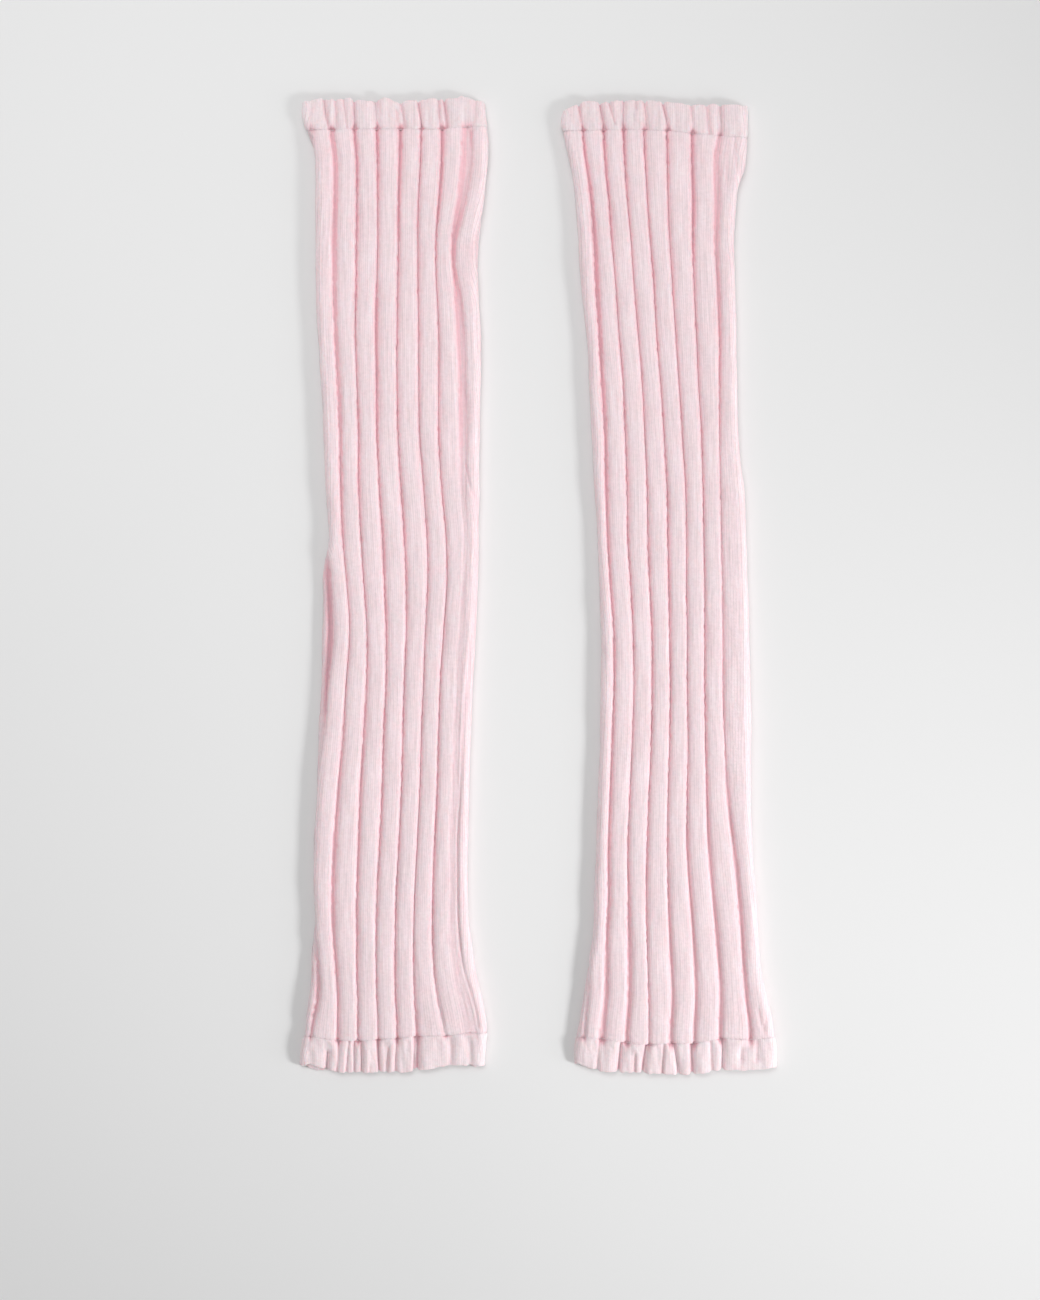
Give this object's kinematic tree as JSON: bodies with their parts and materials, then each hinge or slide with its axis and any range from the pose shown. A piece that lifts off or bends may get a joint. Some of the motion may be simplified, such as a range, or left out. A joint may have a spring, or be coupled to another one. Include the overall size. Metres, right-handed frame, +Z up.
{
  "type": "pair of leg warmers",
  "caption": "Pair of long rib-knit leg warmers, each a soft knitted tube with gathered elastic hems, lying flat side by side.",
  "frame": {"origin": "on the surface the leg warmers lie on, at the centre of the pair's outline", "axes": "+X across the pair towards the right leg warmer, +Y along the legs towards the upper hems, +Z up from the surface"},
  "size_m": [0.2852, 0.5891, 0.009],
  "materials": {
    "left_rib_knit": "matt pale pink rib knit",
    "left_upper_hem_knit": "matt pale pink knit, gathered by elastic",
    "left_lower_hem_knit": "matt pale pink knit, gathered by elastic",
    "right_rib_knit": "matt pale pink rib knit",
    "right_upper_hem_knit": "matt pale pink knit, gathered by elastic",
    "right_lower_hem_knit": "matt pale pink knit, gathered by elastic"
  },
  "bodies": {
    "root": {"left_rib_tube": "left_rib_knit", "left_upper_hem": "left_upper_hem_knit", "left_lower_hem": "left_lower_hem_knit", "right_rib_tube": "right_rib_knit", "right_upper_hem": "right_upper_hem_knit", "right_lower_hem": "right_lower_hem_knit"}
  },
  "joints": []
}
